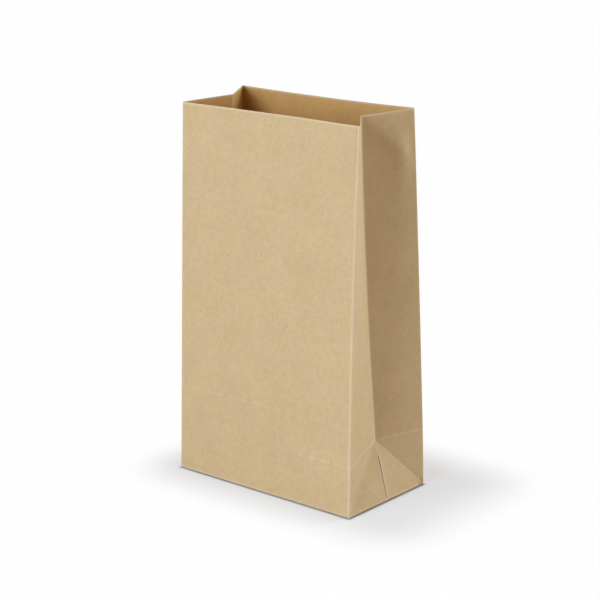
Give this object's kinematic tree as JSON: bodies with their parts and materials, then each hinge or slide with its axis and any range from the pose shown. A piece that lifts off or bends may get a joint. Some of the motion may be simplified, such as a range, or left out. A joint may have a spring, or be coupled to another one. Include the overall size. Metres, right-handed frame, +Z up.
{
  "type": "kraft paper bag",
  "caption": "Open-topped paper bag with side gussets and a flat block base, standing upright to carry goods.",
  "frame": {"origin": "middle of the base's rectangle, on the surface that the bag stands on", "axes": "+Z up through the mouth, -Y towards the front panel, +X towards the gusset at the front panel's right"},
  "size_m": [0.1747, 0.0893, 0.281],
  "materials": {
    "kraft_paper": "matte"
  },
  "bodies": {
    "root": {"paper_bag": "kraft_paper"}
  },
  "joints": []
}
